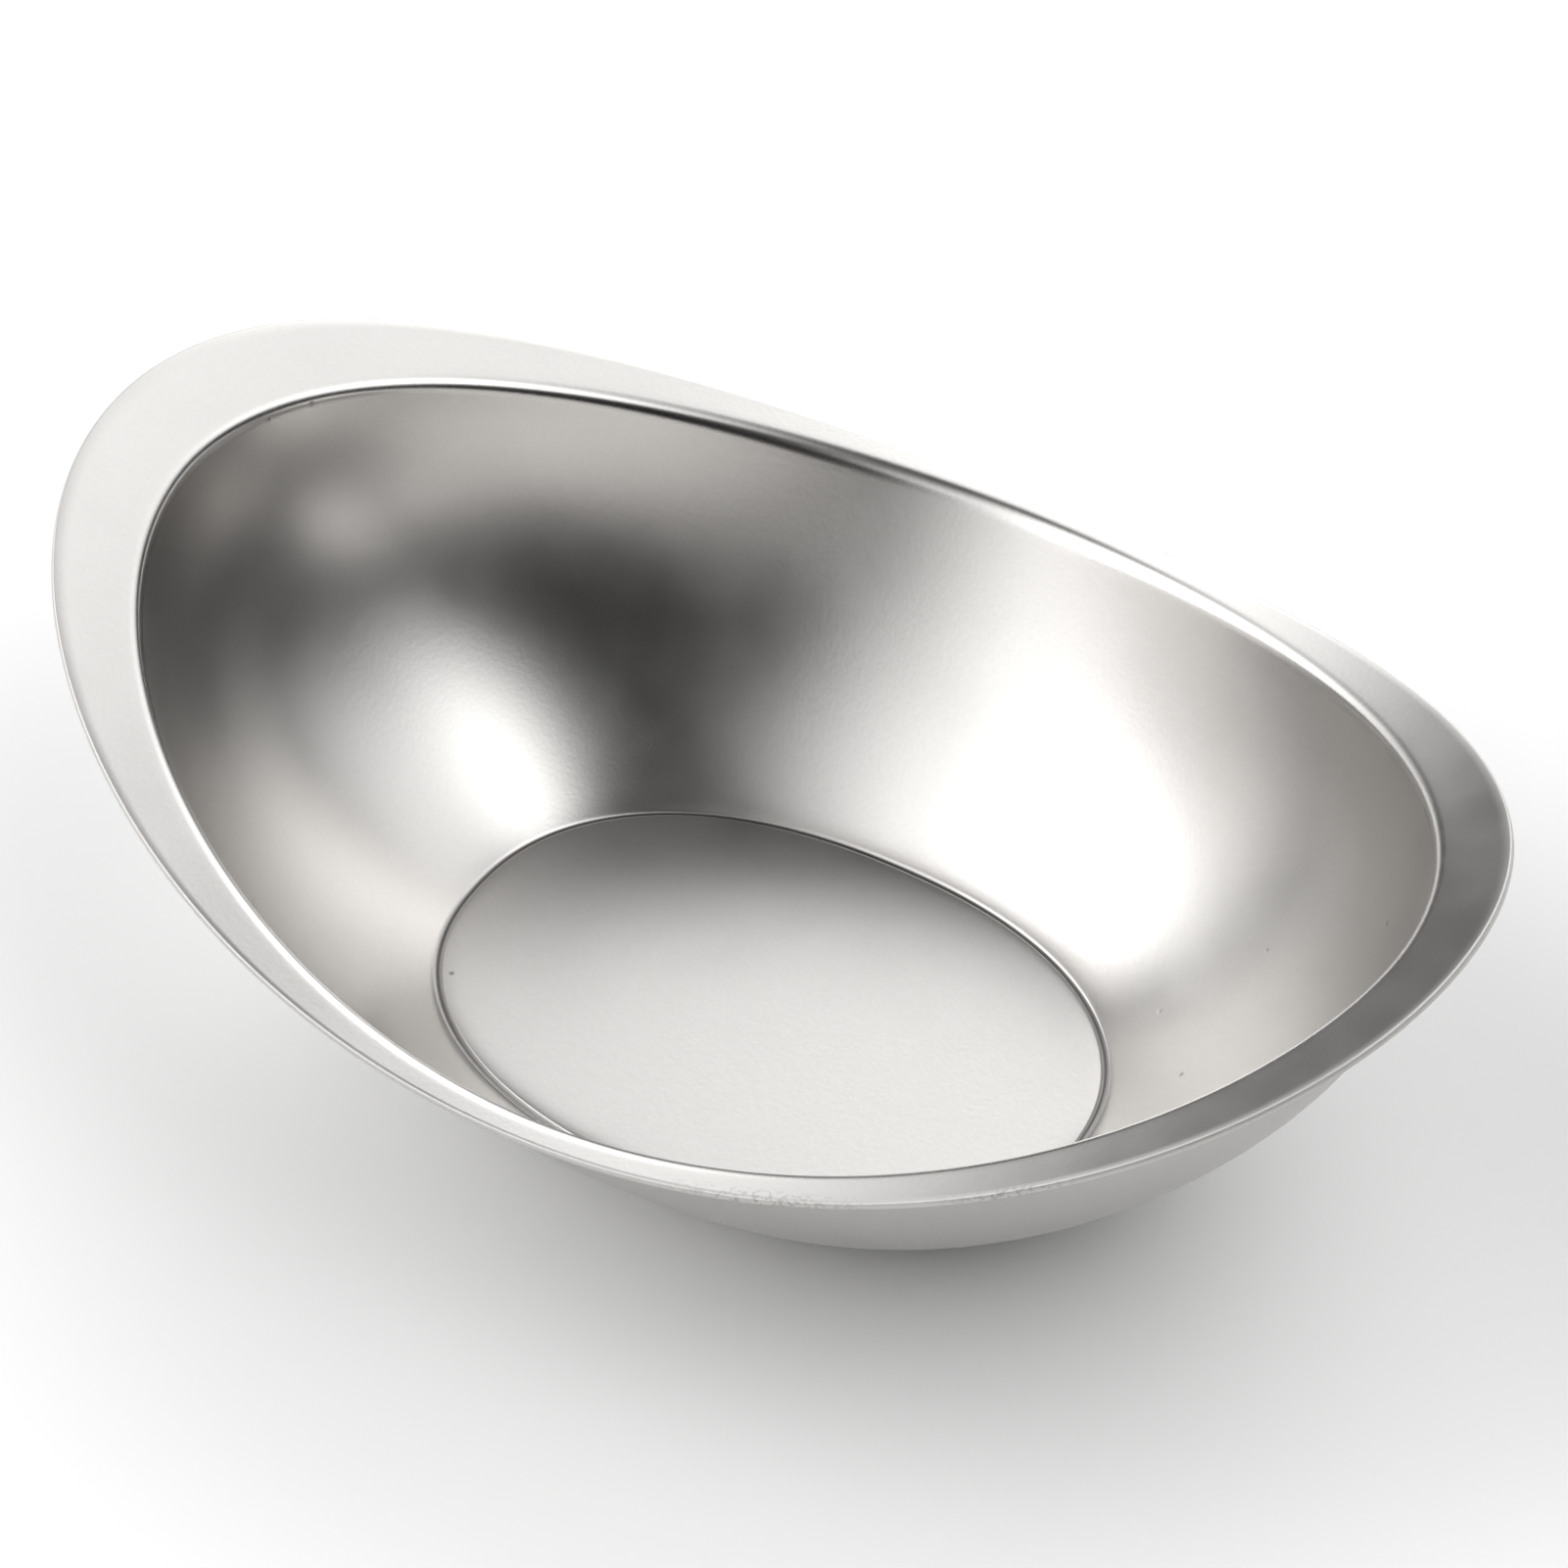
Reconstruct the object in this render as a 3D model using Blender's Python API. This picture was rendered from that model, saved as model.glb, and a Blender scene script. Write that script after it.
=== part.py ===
"""Oval stainless dish pressed from one blank of sheet: raised floor panel, foot groove, sloping wall and a flanged rim that sweeps up at both ends.

Metres, +Z up. The origin is on the ground under the middle of the dish, with the long axis on X.
"""

import math

import bmesh
import bpy

# Rim: the trimmed outer edge of the flange, in plan
RIM_HALF_LENGTH = 0.1250
RIM_HALF_WIDTH = 0.0824
RIM_EXPONENT = 2.035
# The whole flange lies on a cylinder whose axis runs along Y, above the dish
RIM_MIDDLE_HEIGHT = 0.0522
RIM_SWEEP_RADIUS = 0.2773
# Inner line of the flange, where it turns down into the wall. The blank was trimmed a little off centre, so the flange is wider at -X.
MOUTH_HALF_LENGTH = 0.1130
MOUTH_HALF_WIDTH = 0.0790
MOUTH_EXPONENT = 1.926
MOUTH_SHIFT = 0.0013
MOUTH_FILLET = 0.0026
# Wall: its slope just under the mouth and at the foot, and how far it holds each of them, at the sides and at the ends
WALL_SLOPE_SIDE = math.radians(63.5)
WALL_SLOPE_END = math.radians(87.0)
WALL_PULL_SIDE = 0.60
WALL_PULL_END = 0.40
FOOT_SLOPE_SIDE = math.radians(55.6)
FOOT_SLOPE_END = math.radians(45.5)
FOOT_PULL_SIDE = 0.13
FOOT_PULL_END = 0.20
# How quickly the side's wall becomes the end's wall, going round
WALL_BLEND = 2.0
# Foot: a narrow flat ring that stands on the ground, with the slightly raised floor panel inside it
RING_WIDTH = 0.0004
PANEL_HALF_LENGTH = 0.0573
PANEL_HALF_WIDTH = 0.0395
PANEL_EXPONENT = 2.23
PANEL_SHIFT = -0.0023
PANEL_STEP = 0.0006
SHOULDER_RUN = 0.0006
# Sheet
SHEET = 0.0012

SEGMENTS = 72
FILLET_STEPS = 5
WALL_STEPS = 10
SHOULDER_STEPS = 3


def oval(half_length, half_width, exponent, shift, angle):
    """Distance from the origin to a superellipse whose centre is moved along X by shift, in the direction of angle."""
    c, s = math.cos(angle), math.sin(angle)
    near, far = 0.0, 2 * half_length
    for _ in range(50):
        r = (near + far) / 2
        if (abs(r * c - shift) / half_length) ** exponent + (abs(r * s) / half_width) ** exponent < 1:
            near = r
        else:
            far = r
    return r


def rim_height(x):
    return RIM_MIDDLE_HEIGHT + RIM_SWEEP_RADIUS - math.sqrt(RIM_SWEEP_RADIUS**2 - x * x)


def bezier(p, t):
    s = 1 - t
    w = (s**3, 3 * s * s * t, 3 * s * t * t, t**3)
    return tuple(sum(k * q[i] for k, q in zip(w, p)) for i in (0, 1))


def profile(angle):
    """Upper face of the sheet in the upright plane at this angle, as (radius, height), from the rim to the middle."""
    c = math.cos(angle)
    rim = oval(RIM_HALF_LENGTH, RIM_HALF_WIDTH, RIM_EXPONENT, 0, angle)
    mouth = oval(MOUTH_HALF_LENGTH, MOUTH_HALF_WIDTH, MOUTH_EXPONENT, MOUTH_SHIFT, angle)
    panel = oval(PANEL_HALF_LENGTH, PANEL_HALF_WIDTH, PANEL_EXPONENT, PANEL_SHIFT, angle)
    groove = panel + SHOULDER_RUN + RING_WIDTH
    end = abs(c) ** WALL_BLEND
    wall_slope = WALL_SLOPE_SIDE + (WALL_SLOPE_END - WALL_SLOPE_SIDE) * end
    wall_pull = WALL_PULL_SIDE + (WALL_PULL_END - WALL_PULL_SIDE) * end
    foot_slope = FOOT_SLOPE_SIDE + (FOOT_SLOPE_END - FOOT_SLOPE_SIDE) * end
    foot_pull = FOOT_PULL_SIDE + (FOOT_PULL_END - FOOT_PULL_SIDE) * end
    points = []
    for k in range(3):
        r = rim + (mouth - rim) * k / 2
        points.append((r, rim_height(r * c)))
    # Mouth fillet, tangent to the flange and to the top of the wall
    slope = math.atan((rim_height(mouth * c) - rim_height((mouth - 1e-5) * c)) / 1e-5)
    heading = math.pi + slope
    last = math.pi + wall_slope
    centre = (
        points[-1][0] - MOUTH_FILLET * math.sin(heading),
        points[-1][1] + MOUTH_FILLET * math.cos(heading),
    )
    for k in range(1, FILLET_STEPS + 1):
        h = heading + (last - heading) * k / FILLET_STEPS
        points.append((centre[0] + MOUTH_FILLET * math.sin(h), centre[1] - MOUTH_FILLET * math.cos(h)))
    # Wall
    top = points[-1]
    foot = (groove, SHEET)
    reach = math.dist(top, foot)
    control = (
        top,
        (top[0] + reach * wall_pull * math.cos(last), top[1] + reach * wall_pull * math.sin(last)),
        (foot[0] + reach * foot_pull * math.cos(foot_slope), foot[1] + reach * foot_pull * math.sin(foot_slope)),
        foot,
    )
    for k in range(1, WALL_STEPS + 1):
        points.append(bezier(control, 1 - (1 - k / WALL_STEPS) ** 1.15))
    # Foot ring, shoulder and panel
    points.append((panel + SHOULDER_RUN, SHEET))
    for k in range(1, SHOULDER_STEPS + 1):
        t = k / SHOULDER_STEPS
        points.append((panel + SHOULDER_RUN * (1 - t), SHEET + PANEL_STEP * (3 * t * t - 2 * t**3)))
    points.append((panel * 0.72, SHEET + PANEL_STEP))
    points.append((panel * 0.36, SHEET + PANEL_STEP))
    return points


def underside(points):
    """The lower face: the same line moved by the sheet's thickness, square to it."""
    moved = []
    for i, (r, z) in enumerate(points):
        before, after = points[max(i - 1, 0)], points[min(i + 1, len(points) - 1)]
        a = math.atan2(z - before[1], r - before[0]) if i else None
        b = math.atan2(after[1] - z, after[0] - r) if i < len(points) - 1 else None
        a = b if a is None else a
        b = a if b is None else b
        turn = (b - a + math.pi) % (2 * math.pi) - math.pi
        middle = a + turn / 2
        offset = SHEET / math.cos(turn / 2)
        moved.append((r - offset * math.sin(middle), z + offset * math.cos(middle)))
    return moved


def dish_mesh():
    bm = bmesh.new()
    upper, lower = [], []
    for i in range(SEGMENTS):
        phase = 2 * math.pi * i / SEGMENTS
        angle = math.atan2(RIM_HALF_WIDTH * math.sin(phase), RIM_HALF_LENGTH * math.cos(phase))
        c, s = math.cos(angle), math.sin(angle)
        top = profile(angle)
        under = underside(top)
        upper.append([bm.verts.new((r * c, r * s, z)) for r, z in top])
        lower.append([bm.verts.new((r * c, r * s, z)) for r, z in under])
    hub_top = bm.verts.new((0, 0, SHEET + PANEL_STEP))
    hub_under = bm.verts.new((0, 0, PANEL_STEP))
    for i in range(SEGMENTS):
        a, b = upper[i], upper[(i + 1) % SEGMENTS]
        for k in range(len(a) - 1):
            bm.faces.new((a[k], b[k], b[k + 1], a[k + 1]))
        bm.faces.new((a[-1], b[-1], hub_top))
        p, q = lower[i], lower[(i + 1) % SEGMENTS]
        for k in range(len(p) - 1):
            bm.faces.new((p[k], p[k + 1], q[k + 1], q[k]))
        bm.faces.new((p[-1], hub_under, q[-1]))
        bm.faces.new((a[0], p[0], q[0], b[0]))
    bmesh.ops.recalc_face_normals(bm, faces=bm.faces)
    bmesh.ops.triangulate(bm, faces=[f for f in bm.faces if len(f.verts) > 3], quad_method="SHORT_EDGE")
    mesh = bpy.data.meshes.new("dish_body")
    bm.to_mesh(mesh)
    bm.free()
    mesh.shade_smooth()
    mesh.set_sharp_from_angle(angle=math.radians(50))
    return mesh


def satin_steel():
    material = bpy.data.materials.new("satin_stainless")
    material.use_nodes = True
    shader = material.node_tree.nodes["Principled BSDF"]
    shader.inputs["Base Color"].default_value = (0.62, 0.60, 0.575, 1.0)
    shader.inputs["Metallic"].default_value = 1.0
    shader.inputs["Roughness"].default_value = 0.28
    return material


def main():
    for obj in list(bpy.data.objects):
        bpy.data.objects.remove(obj, do_unlink=True)
    dish = bpy.data.objects.new("dish_body", dish_mesh())
    dish.data.materials.append(satin_steel())
    bpy.context.scene.collection.objects.link(dish)


main()
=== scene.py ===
"""Oval satin stainless ward dish: the fine surface, its finish, and a plain studio round it. Everything is in the frame's metres."""

import math

import bpy
import numpy as np
from mathutils import Matrix


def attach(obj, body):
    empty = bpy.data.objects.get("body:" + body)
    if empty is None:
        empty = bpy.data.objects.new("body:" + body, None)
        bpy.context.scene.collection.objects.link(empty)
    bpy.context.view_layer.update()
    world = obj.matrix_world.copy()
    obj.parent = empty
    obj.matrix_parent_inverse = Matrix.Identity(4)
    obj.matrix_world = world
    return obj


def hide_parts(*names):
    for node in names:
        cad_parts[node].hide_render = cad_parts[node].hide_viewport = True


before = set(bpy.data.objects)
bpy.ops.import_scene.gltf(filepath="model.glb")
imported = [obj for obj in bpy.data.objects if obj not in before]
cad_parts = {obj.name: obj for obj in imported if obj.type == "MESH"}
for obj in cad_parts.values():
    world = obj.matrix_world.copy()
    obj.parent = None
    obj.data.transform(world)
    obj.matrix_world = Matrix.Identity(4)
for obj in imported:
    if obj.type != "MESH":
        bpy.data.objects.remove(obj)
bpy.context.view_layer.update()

MM = 0.001

# ---- the dish's surface, with the same driving dimensions as the CAD part, in millimetres ----
RIM = (125.0, 82.4, 2.035, 0.0)
MOUTH = (113.0, 79.0, 1.926, 1.3)
PANEL = (57.3, 39.5, 2.23, -2.3)
RIM_MIDDLE, RIM_SWEEP = 52.2, 277.3
FILLET = 2.6
SLOPE_SIDE, SLOPE_END = math.radians(63.5), math.radians(87.0)
PULL_SIDE, PULL_END = 0.60, 0.40
FOOT_SLOPE_SIDE, FOOT_SLOPE_END = math.radians(55.6), math.radians(45.5)
FOOT_PULL_SIDE, FOOT_PULL_END = 0.13, 0.20
FOOT_RADIUS, BLEND = 0.5, 2.0
RING, STEP, RUN, SHEET, CROWN = 0.4, 0.6, 0.6, 1.2, 0.14
ANGLES = 480


def oval(shape, c, s):
    """Radius of a shifted superellipse in each direction (c, s)."""
    a, b, n, shift = shape
    near, far = np.zeros_like(c), np.full_like(c, 2 * a)
    for _ in range(50):
        r = (near + far) / 2
        inside = (np.abs(r * c - shift) / a) ** n + (np.abs(r * s) / b) ** n < 1
        near, far = np.where(inside, r, near), np.where(inside, far, r)
    return r


def rim_height(x):
    return RIM_MIDDLE + RIM_SWEEP - np.sqrt(RIM_SWEEP**2 - x * x)


def guide_lines(c, s):
    """The upper face before its corners are eased, as (line, angle) arrays of radius and height, and the arc length along it."""
    rim, mouth, panel = oval(RIM, c, s), oval(MOUTH, c, s), oval(PANEL, c, s)
    rows = []
    for t in np.linspace(-0.35, 1, 28):
        r = rim + (mouth - rim) * t
        rows.append((r, rim_height(r * c)))
    slope = np.arctan((rim_height(mouth * c) - rim_height((mouth - 0.01) * c)) / 0.01)
    heading = math.pi + slope
    end = np.abs(c) ** BLEND
    last = math.pi + SLOPE_SIDE + (SLOPE_END - SLOPE_SIDE) * end
    centre = mouth - FILLET * np.sin(heading), rim_height(mouth * c) + FILLET * np.cos(heading)
    for t in np.linspace(0, 1, 24)[1:]:
        h = heading + (last - heading) * t
        rows.append((centre[0] + FILLET * np.sin(h), centre[1] - FILLET * np.cos(h)))
    foot_slope = FOOT_SLOPE_SIDE + (FOOT_SLOPE_END - FOOT_SLOPE_SIDE) * end
    foot_pull = FOOT_PULL_SIDE + (FOOT_PULL_END - FOOT_PULL_SIDE) * end
    groove = panel + RUN + RING
    top, foot = rows[-1], (groove + FOOT_RADIUS * np.sin(foot_slope), SHEET + FOOT_RADIUS * (1 - np.cos(foot_slope)))
    reach = np.hypot(top[0] - foot[0], top[1] - foot[1])
    pull = PULL_SIDE + (PULL_END - PULL_SIDE) * end
    p1 = top[0] + reach * pull * np.cos(last), top[1] + reach * pull * np.sin(last)
    p2 = foot[0] + reach * foot_pull * np.cos(foot_slope), foot[1] + reach * foot_pull * np.sin(foot_slope)
    for k in range(1, 121):
        t = 1 - (1 - k / 120) ** 1.25
        w = (1 - t) ** 3, 3 * (1 - t) ** 2 * t, 3 * (1 - t) * t * t, t**3
        rows.append(tuple(w[0] * top[i] + w[1] * p1[i] + w[2] * p2[i] + w[3] * foot[i] for i in (0, 1)))
    for t in np.linspace(1, 0, 13)[1:]:
        rows.append((groove + FOOT_RADIUS * np.sin(foot_slope * t), SHEET + FOOT_RADIUS * (1 - np.cos(foot_slope * t))))
    for t in np.linspace(0, 1, 6)[1:]:
        rows.append((panel + RUN + RING * (1 - t), np.full_like(c, SHEET)))
    for t in np.linspace(0, 1, 16)[1:]:
        rows.append((panel + RUN * (1 - t), np.full_like(c, SHEET + STEP * (3 * t * t - 2 * t**3))))
    for t in np.linspace(0, 1, 80)[1:] ** 2:
        rows.append((panel * (1 - t), SHEET + STEP + CROWN * (1 - np.exp(-panel * t / 1.1))))
    line = np.array(rows)
    run = np.zeros(line[:, 0].shape)
    run[1:] = np.cumsum(np.hypot(*np.diff(line, axis=0).transpose(1, 0, 2)), axis=0)
    marks = {"rim": None, "mouth": 27, "fillet": 50, "foot": 182, "ring": 187, "panel": 202}
    run -= run[7] + (run[8] - run[7]) * ((0.35 / 1.35 * 27) - 7)
    return line, run, marks


def eased(line, run, at, spread):
    """The line at arc lengths at, each averaged over its neighbourhood of that spread, so that corners become small radii."""
    out = np.zeros((2,) + at.shape)
    offsets = np.linspace(-2.4, 2.4, 17)
    weights = np.exp(-0.5 * offsets**2)
    weights /= weights.sum()
    for j in range(at.shape[1]):
        for o, w in zip(offsets, weights):
            where = at[:, j] + o * spread[:, j]
            out[0, :, j] += w * np.interp(where, run[:, j], line[:, 0, j])
            out[1, :, j] += w * np.interp(where, run[:, j], line[:, 1, j])
    return out


def stations(run, marks, fine):
    """Arc lengths of the mesh's rings, closer together where the surface turns, and the easing at each."""
    mouth, fillet, foot, ring, panel = (run[marks[k]] for k in ("mouth", "fillet", "foot", "ring", "panel"))
    end = run[-1]
    rows, spreads = [], []

    def stretch(a, b, n, spread_a, spread_b, first=False):
        for t in np.linspace(0, 1, n + 1)[0 if first else 1 :]:
            rows.append(a + (b - a) * t)
            spreads.append(np.full_like(a, spread_a + (spread_b - spread_a) * t))

    zero = np.zeros_like(end)
    n = (lambda k: max(2, int(round(k * fine))))
    stretch(zero + 0.3, mouth - 0.6, n(6), 0.02, 0.5, first=True)
    stretch(mouth - 0.6, fillet + 0.8, n(16), 0.5, 0.6)
    stretch(fillet + 0.8, foot - 5.0, n(34), 0.6, 1.0)
    stretch(foot - 5.0, foot - 1.2, n(7), 1.0, 0.25)
    stretch(foot - 1.2, panel + 0.8, n(22), 0.25, 0.25)
    stretch(panel + 0.8, panel + 4.0, n(8), 0.25, 0.8)
    stretch(panel + 4.0, end - 3.0, n(12), 0.8, 0.8)
    return np.array(rows), np.array(spreads)


def normals(line):
    """Unit normals of each line in its own upright plane, on the upper side."""
    d = np.gradient(line, axis=1)
    d /= np.hypot(d[0], d[1])
    return np.array((d[1], -d[0])) * np.where(np.array((d[1], -d[0]))[1] < 0, -1, 1)


def dish_mesh():
    phase = 2 * math.pi * np.arange(ANGLES) / ANGLES
    angle = np.arctan2(RIM[1] * np.sin(phase), RIM[0] * np.cos(phase))
    c, s = np.cos(angle), np.sin(angle)
    line, run, marks = guide_lines(c, s)
    at, spread = stations(run, marks, 1.0)
    upper = eased(line, run, at, spread)
    at_under, spread_under = stations(run, marks, 0.62)
    base = eased(line, run, at_under, np.maximum(spread_under, 0.7 * (at_under > run[marks["fillet"]] + 2)))
    side = normals(base)
    lower = base - SHEET * side
    # The trimmed edge: a small roll at the top, the cut face, and a fine burr under it
    start = eased(line, run, np.zeros((1, ANGLES)), np.full((1, ANGLES), 0.02))[:, 0]
    out = start - upper[:, 0]
    out /= np.hypot(out[0], out[1])
    down = -normals(upper)[:, 0]
    edge = []
    for a in np.radians((25, 50, 75)):
        edge.append(upper[:, 0] + out * 0.3 * np.sin(a) + down * 0.3 * (1 - np.cos(a)))
    for inward, depth in ((0.0, 0.42), (0.01, 0.75), (0.04, 1.0), (0.12, 1.16)):
        edge.append(start - out * inward + down * depth)
    under = lower[:, ::1]
    rows = [upper[:, k] for k in range(upper.shape[1])][::-1] + edge + [under[:, k] for k in range(under.shape[1])]
    # Distances that the finish uses: from the trimmed edge and from the mouth line along the upper face
    from_edge = [at[k] for k in range(len(at))][::-1] + [np.zeros(ANGLES)] * len(edge) + [at_under[k] + 0.0 for k in range(len(at_under))]
    mouth_at = run[marks["mouth"]]
    from_panel = run[marks["panel"]]
    upper_side = [1.0] * len(at) + [0.5] * len(edge) + [0.0] * len(at_under)
    points, edge_run, mouth_run, panel_run, face = [], [], [], [], []
    for row, e, u in zip(rows, from_edge, upper_side):
        points.append(np.stack((row[0] * c, row[0] * s, row[1]), 1))
        edge_run.append(e)
        mouth_run.append(e - mouth_at)
        panel_run.append(e - from_panel)
        face.append(np.full(ANGLES, u))
    points.insert(0, np.array([[0, 0, SHEET + STEP + CROWN]]))
    points.append(np.array([[0, 0, STEP + CROWN]]))
    hub = run[-1].mean()
    lists = []
    for values, end in ((edge_run, hub), (mouth_run, hub), (panel_run, 50.0), (face, None)):
        a = [np.array([end if end is not None else 1.0])] + values + [np.array([end if end is not None else 0.0])]
        lists.append(np.concatenate(a))
    points = np.concatenate(points)
    n, m = len(rows), ANGLES
    faces = [(0, 1 + j, 1 + (j + 1) % m) for j in range(m)]
    for k in range(n - 1):
        for j in range(m):
            a, b = 1 + k * m + j, 1 + k * m + (j + 1) % m
            faces.append((a, a + m, b + m, b))
    last = 1 + n * m
    faces += [(1 + (n - 1) * m + j, last, 1 + (n - 1) * m + (j + 1) % m) for j in range(m)]
    mesh = bpy.data.meshes.new("dish_shell")
    mesh.from_pydata([tuple(p) for p in points * MM], [], faces)
    for name, values in zip(("edge_run", "mouth_run", "panel_run", "upper_side"), lists):
        mesh.attributes.new(name, "FLOAT", "POINT").data.foreach_set("value", values.astype(np.float32))
    mesh.shade_smooth()
    mesh.validate()
    mesh.update()
    return mesh


def shell():
    obj = bpy.data.objects.new("dish_shell", dish_mesh())
    bpy.context.scene.collection.objects.link(obj)
    obj.data.materials.append(satin_steel())
    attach(obj, "root")
    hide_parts("dish_body")
    return obj


# ---- finish: numbers ----
STEEL = (0.62, 0.6085, 0.594)
ROUGHNESS = 0.29
# Places on the surface, in millimetres, with a radius: stacking scuffs on the rim, pits, and faint handling marks
SCUFFS = (((81.6, -61.8, 64.5), 15.0), ((47.0, -76.7, 56.2), 24.0))
PITS = (
    ((-52.3, -18.8, 1.9), 0.65),
    ((55.6, 27.4, 9.2), 0.75),
    ((67.2, 14.4, 12.4), 0.75),
    ((71.0, 35.0, 24.7), 0.7),
    ((95.5, 29.9, 48.2), 0.7),
    ((-104.0, 23.8, 71.2), 0.7),
    ((-107.2, 16.3, 72.2), 0.6),
)
# Short scratch: middle, turn about Z in radians, half length and half width
SCRATCHES = (
    ((-48.9, 35.9, 8.9), 1.5, 2.0, 0.13),
)


# ---- finish ----
class Nodes:
    """Small helper that adds nodes and joins them, so that each layer of the finish reads as one line."""

    def __init__(self, tree):
        self.tree = tree

    def add(self, kind, inputs=None, **settings):
        node = self.tree.nodes.new(kind)
        for key, value in settings.items():
            setattr(node, key, value)
        for key, value in (inputs or {}).items():
            if isinstance(value, bpy.types.NodeSocket):
                self.tree.links.new(value, node.inputs[key])
            else:
                node.inputs[key].default_value = value
        return node

    def math(self, operation, a, b=0.0, c=0.0, clamp=False):
        return self.add("ShaderNodeMath", {0: a, 1: b, 2: c}, operation=operation, use_clamp=clamp).outputs[0]

    def vector(self, operation, a, b):
        return self.add("ShaderNodeVectorMath", {0: a, 1: b}, operation=operation).outputs[0]

    def attribute(self, name):
        return self.add("ShaderNodeAttribute", attribute_name=name).outputs["Fac"]

    def noise(self, at, scale, detail=0.0, roughness=0.5):
        return self.add("ShaderNodeTexNoise", {"Vector": at, "Scale": scale, "Detail": detail, "Roughness": roughness}).outputs["Fac"]

    def ramp(self, value, low, high, to_low=0.0, to_high=1.0, smooth=True):
        return self.add(
            "ShaderNodeMapRange",
            {"Value": value, "From Min": low, "From Max": high, "To Min": to_low, "To Max": to_high},
            interpolation_type="SMOOTHSTEP" if smooth else "LINEAR",
        ).outputs[0]

    def near(self, at, point, radius):
        """1 at point, falling to 0 at radius, in the object's millimetres."""
        away = self.add("ShaderNodeVectorMath", {0: at, 1: point}, operation="DISTANCE").outputs["Value"]
        return self.ramp(away, 0.0, radius, 1.0, 0.0)

    def stroke(self, at, point, turn, half_length, half_width):
        """1 along the middle of a short straight mark at point."""
        along, across = (math.cos(turn), math.sin(turn), 0.0), (-math.sin(turn), math.cos(turn), 0.0)
        away = self.vector("SUBTRACT", at, point)
        u, v = (self.add("ShaderNodeVectorMath", {0: away, 1: d}, operation="DOT_PRODUCT").outputs["Value"] for d in (along, across))
        u, v = self.math("DIVIDE", self.math("ABSOLUTE", u), half_length), self.math("DIVIDE", self.math("ABSOLUTE", v), half_width)
        high = self.ramp(self.math("ABSOLUTE", self.add("ShaderNodeVectorMath", {0: away, 1: (0, 0, 1)}, operation="DOT_PRODUCT").outputs["Value"]), 2.0, 4.0, 1.0, 0.0)
        return self.math("MULTIPLY", high, self.math("MULTIPLY", self.ramp(u, 0.5, 1.0, 1.0, 0.0), self.ramp(v, 0.2, 1.0, 1.0, 0.0)))

    def total(self, *values):
        out = values[0]
        for value in values[1:]:
            out = self.math("ADD", out, value)
        return out


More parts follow.
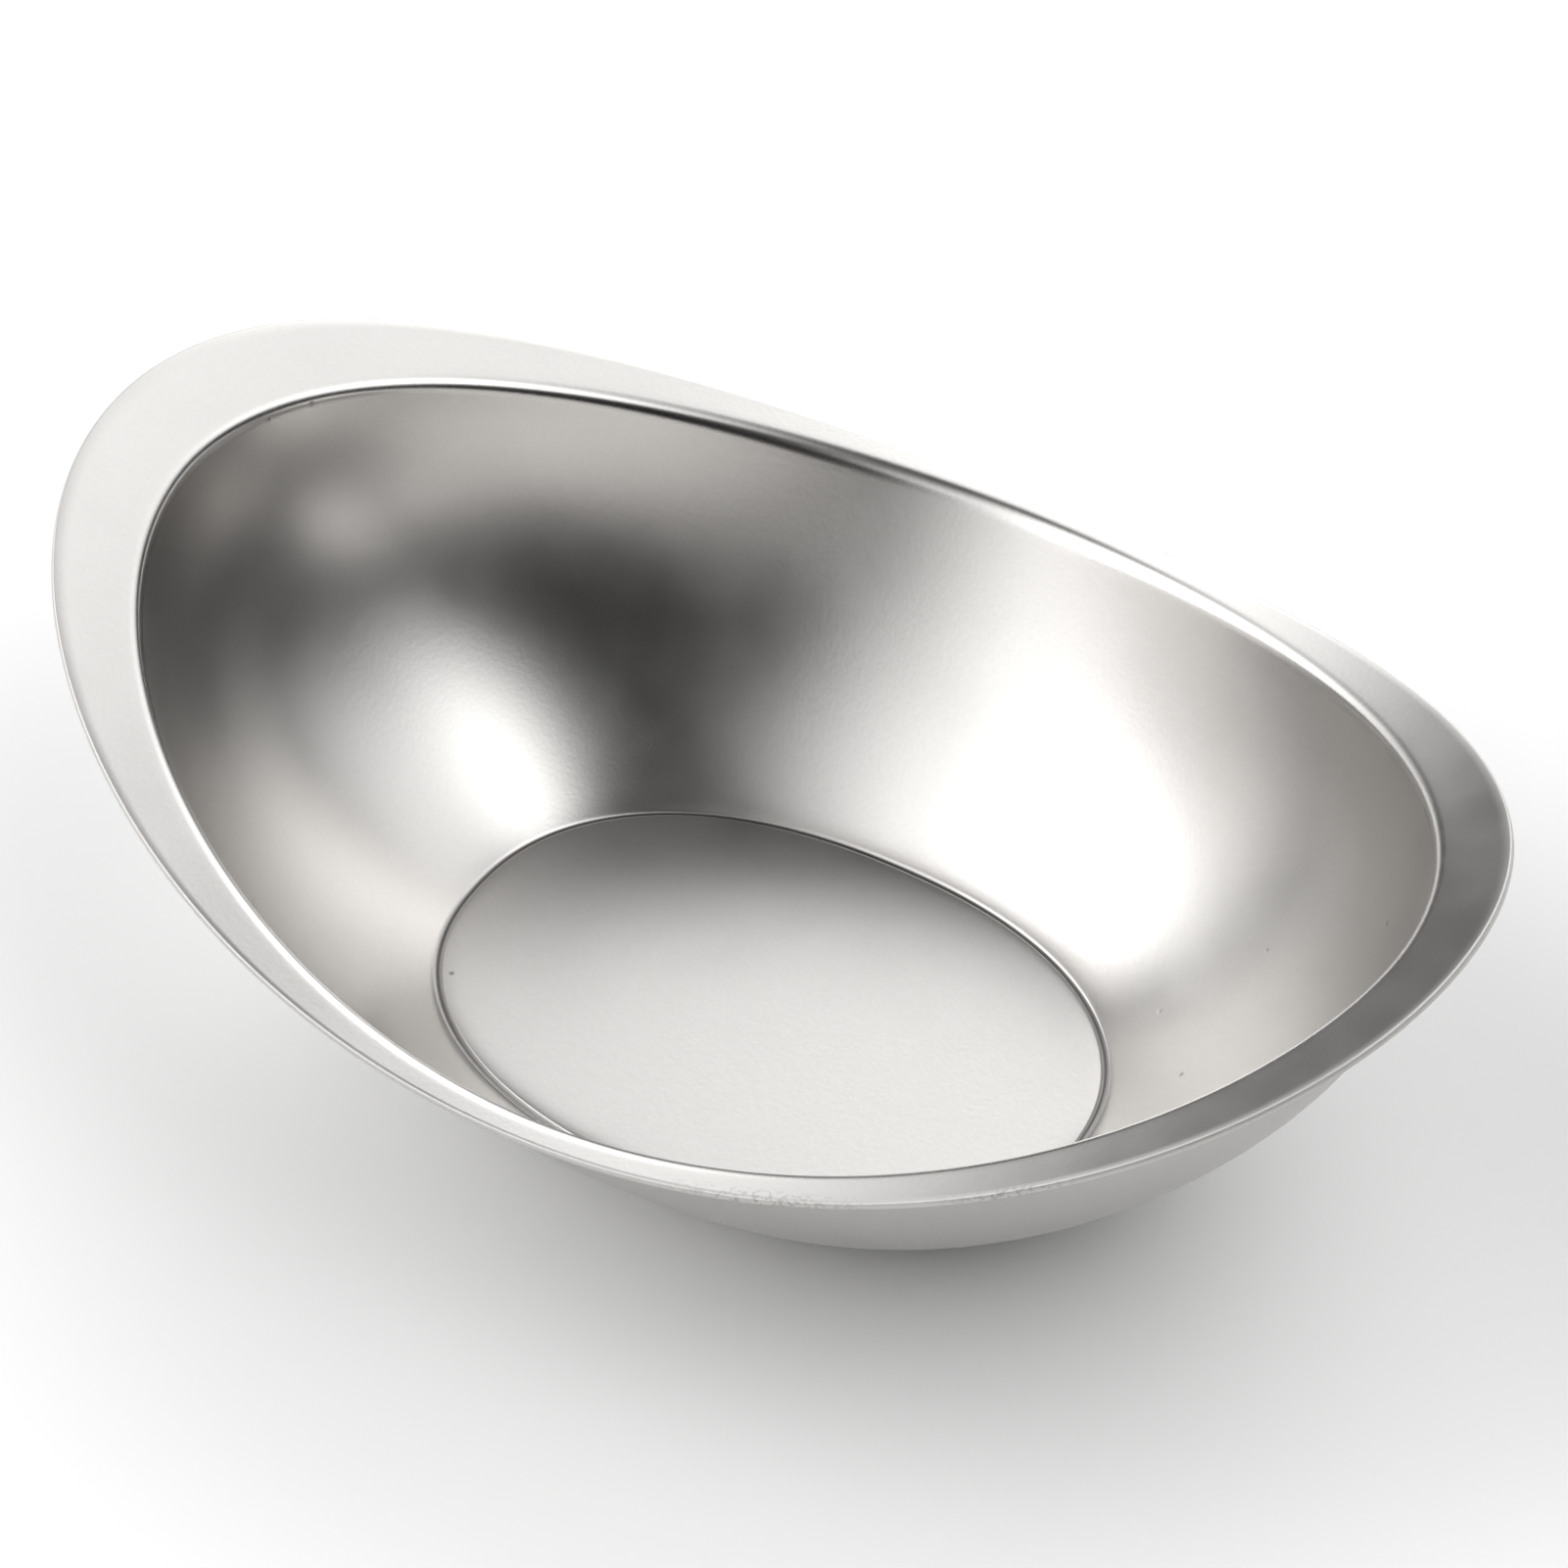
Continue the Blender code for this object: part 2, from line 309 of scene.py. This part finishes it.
def satin_steel():
    material = bpy.data.materials.new("satin_stainless")
    material.use_nodes = True
    tree = material.node_tree
    shader = tree.nodes["Principled BSDF"]
    n = Nodes(tree)
    place = n.add("ShaderNodeTexCoord").outputs["Object"]
    at = n.vector("MULTIPLY", place, (1000.0, 1000.0, 1000.0))
    edge_run, mouth_run, panel_run, upper = (n.attribute(k) for k in ("edge_run", "mouth_run", "panel_run", "upper_side"))

    # Layers: broad cloudiness, and the blasted sheet's orange peel
    cloud = n.noise(at, 0.06, 2.0, 0.6)
    peel = n.noise(at, 1.3, 1.0, 0.6)

    # Wear: a dull trimmed edge, a burnished mouth radius and scuffs from stacking along the rim; painted shade: a dark
    # line in the foot's crease round the panel, and the outer face darkened
    edge_line = n.ramp(edge_run, 0.0, 0.5, 1.0, 0.0)
    crease_shade = n.math("MULTIPLY", upper, n.math("MULTIPLY", n.ramp(panel_run, -2.1, -1.2), n.ramp(panel_run, -0.75, -0.1, 1.0, 0.0)))
    outside = n.math("SUBTRACT", 1.0, upper)
    burnish = n.math("MULTIPLY", n.ramp(mouth_run, -0.6, 0.4), n.ramp(mouth_run, 2.6, 4.4, 1.0, 0.0))
    by_rim = n.ramp(edge_run, 0.5, 3.2, 1.0, 0.0)
    scuff_where = n.math("MAXIMUM", *(n.near(at, point, radius) for point, radius in SCUFFS))
    scuff = n.math("MULTIPLY", n.math("MULTIPLY", n.ramp(peel, 0.5, 0.6), by_rim), scuff_where)
    pits = scratches = None
    for point, radius in PITS:
        spot = n.near(at, point, radius)
        pits = spot if pits is None else n.math("MAXIMUM", pits, spot)
    for point, turn, half_length, half_width in SCRATCHES:
        mark = n.stroke(at, point, turn, half_length, half_width)
        scratches = mark if scratches is None else n.math("MAXIMUM", scratches, mark)

    # Colour
    tone = n.total(
        n.ramp(cloud, 0.3, 0.7, -0.01, 0.01),
        n.ramp(peel, 0.25, 0.75, -0.018, 0.018, smooth=False),
        # painted shade: the outer face's colour is 16% darker than the inner, standing for the shade it sits in
        n.math("MULTIPLY", outside, -0.16),
        # painted shade: the crease round the panel is darkened where the corner is shaded
        n.math("MULTIPLY", crease_shade, -0.55),
        n.math("MULTIPLY", scuff, -0.22),
        n.math("MULTIPLY", scratches, -0.16),
        n.math("MULTIPLY", pits, -0.5),
        1.0,
    )
    colour = n.vector("MULTIPLY", n.add("ShaderNodeCombineXYZ", {0: tone, 1: tone, 2: tone}).outputs[0], STEEL)
    tree.links.new(colour, shader.inputs["Base Color"])
    # Gloss
    gloss = n.total(
        n.ramp(cloud, 0.3, 0.7, -0.012, 0.012),
        n.math("MULTIPLY", burnish, -0.03),
        n.math("MULTIPLY", edge_line, 0.22),
        n.math("MULTIPLY", outside, 0.05),
        n.math("MULTIPLY", scuff, 0.14),
        n.math("MULTIPLY", pits, 0.25),
        ROUGHNESS,
    )
    tree.links.new(gloss, shader.inputs["Roughness"])
    # Relief, in millimetres
    relief = n.total(
        n.ramp(peel, 0.2, 0.8, 0.0, 0.005, smooth=False),
        n.math("MULTIPLY", scuff, -0.006),
        n.math("MULTIPLY", scratches, -0.01),
        n.math("MULTIPLY", pits, -0.03),
    )
    bump = n.add("ShaderNodeBump", {"Height": relief, "Strength": 1.0, "Distance": 0.001})
    tree.links.new(bump.outputs[0], shader.inputs["Normal"])
    shader.inputs["Metallic"].default_value = 1.0
    return material


# ---- studio ----
def floor():
    mesh = bpy.data.meshes.new("floor")
    mesh.from_pydata([(-6, -6, 0), (6, -6, 0), (6, 6, 0), (-6, 6, 0)], [], [(0, 1, 2, 3)])
    obj = bpy.data.objects.new("floor", mesh)
    bpy.context.scene.collection.objects.link(obj)
    material = bpy.data.materials.new("floor_white")
    material.use_nodes = True
    shader = material.node_tree.nodes["Principled BSDF"]
    shader.inputs["Base Color"].default_value = (0.90, 0.90, 0.90, 1.0)
    shader.inputs["Roughness"].default_value = 0.7
    mesh.materials.append(material)
    return obj


def camera():
    az, el, roll = (math.radians(a) for a in (-56.289, 44.675, -2.096))
    distance, scale = 1485.66, 6.243
    focal = scale * distance
    back = np.array((math.cos(el) * math.cos(az), math.cos(el) * math.sin(az), math.sin(el)))
    right = np.cross(-back, (0, 0, 1))
    right /= np.linalg.norm(right)
    up = np.cross(right, -back)
    r = right * math.cos(roll) + up * math.sin(roll)
    u = -right * math.sin(roll) + up * math.cos(roll)
    place = -(-back * distance + r * (798.093 - 800.5) / focal * distance - u * (1050.036 - 800.5) / focal * distance)
    data = bpy.data.cameras.new("camera")
    data.sensor_width = 36
    data.lens = focal / 1601 * 36
    data.clip_start, data.clip_end = 0.05, 50
    obj = bpy.data.objects.new("camera", data)
    bpy.context.scene.collection.objects.link(obj)
    m = Matrix.Identity(4)
    for i in range(3):
        m[i][0], m[i][1], m[i][2], m[i][3] = r[i], u[i], back[i], place[i] * MM
    obj.matrix_world = m
    bpy.context.scene.camera = obj
    return obj


# Light from far away, as soft patches: strength, azimuth and elevation in degrees, and tightness. A negative one is a dark panel.
BACKDROP = 0.95
AMBIENT, AMBIENT_RISE = 0.952, 0.109
PATCHES = (
    (2.00, 237, 10, 8.2),
    (-1.80, 271, 14, 12.4),
    (1.34, 36, 26, 11.5),
    (-2.89, 20, 8, 11.8),
    (-1.49, 317, 51, 10.3),
    (2.97, 119, 29, 14.8),
    (-1.83, 62, 3, 10.0),
    (-1.89, 130, 57, 13.9),
    (3.15, 195, 44, 11.4),
    (3.19, 353, 53, 14.8),
    (1.00, 102, 37, 10.3),
    (-1.24, 210, 73, 12.1),
    (-1.47, 328, 21, 7.4),
    (-2.31, 135, 14, 13.7),
)


def studio():
    """A plain soft studio: broad light panels and dark panels round the table. The camera itself sees an even pale backdrop."""
    world = bpy.data.worlds.new("studio")
    world.use_nodes = True
    tree = world.node_tree
    n = Nodes(tree)
    background = tree.nodes["Background"]
    toward = n.add("ShaderNodeTexCoord").outputs["Generated"]
    height = n.add("ShaderNodeSeparateXYZ", {0: toward}).outputs[2]
    light = n.math("ADD", n.math("MULTIPLY", height, AMBIENT_RISE), AMBIENT)
    for strength, azimuth, elevation, tightness in PATCHES:
        a, e = math.radians(azimuth), math.radians(elevation)
        middle = (math.cos(e) * math.cos(a), math.cos(e) * math.sin(a), math.sin(e))
        dot = n.add("ShaderNodeVectorMath", {0: toward, 1: middle}, operation="DOT_PRODUCT").outputs["Value"]
        power = n.math("MULTIPLY", n.math("SUBTRACT", dot, 1.0), tightness)
        light = n.math("ADD", light, n.math("MULTIPLY", n.math("EXPONENT", power), strength))
    light = n.math("MAXIMUM", light, 0.0)
    seen = n.add("ShaderNodeLightPath").outputs["Is Camera Ray"]
    mixed = n.math("ADD", n.math("MULTIPLY", light, n.math("SUBTRACT", 1.0, seen)), n.math("MULTIPLY", seen, BACKDROP))
    tree.links.new(n.add("ShaderNodeCombineXYZ", {0: mixed, 1: mixed, 2: mixed}).outputs[0], background.inputs["Color"])
    background.inputs["Strength"].default_value = 1.0
    world.cycles.sampling_method = "MANUAL"
    world.cycles.sample_map_resolution = 512
    bpy.context.scene.world = world


def main():
    shell()
    floor()
    camera()
    studio()
    view = bpy.context.scene.view_settings
    view.view_transform, view.look, view.exposure, view.gamma = "Standard", "None", 0.0, 1.0


main()
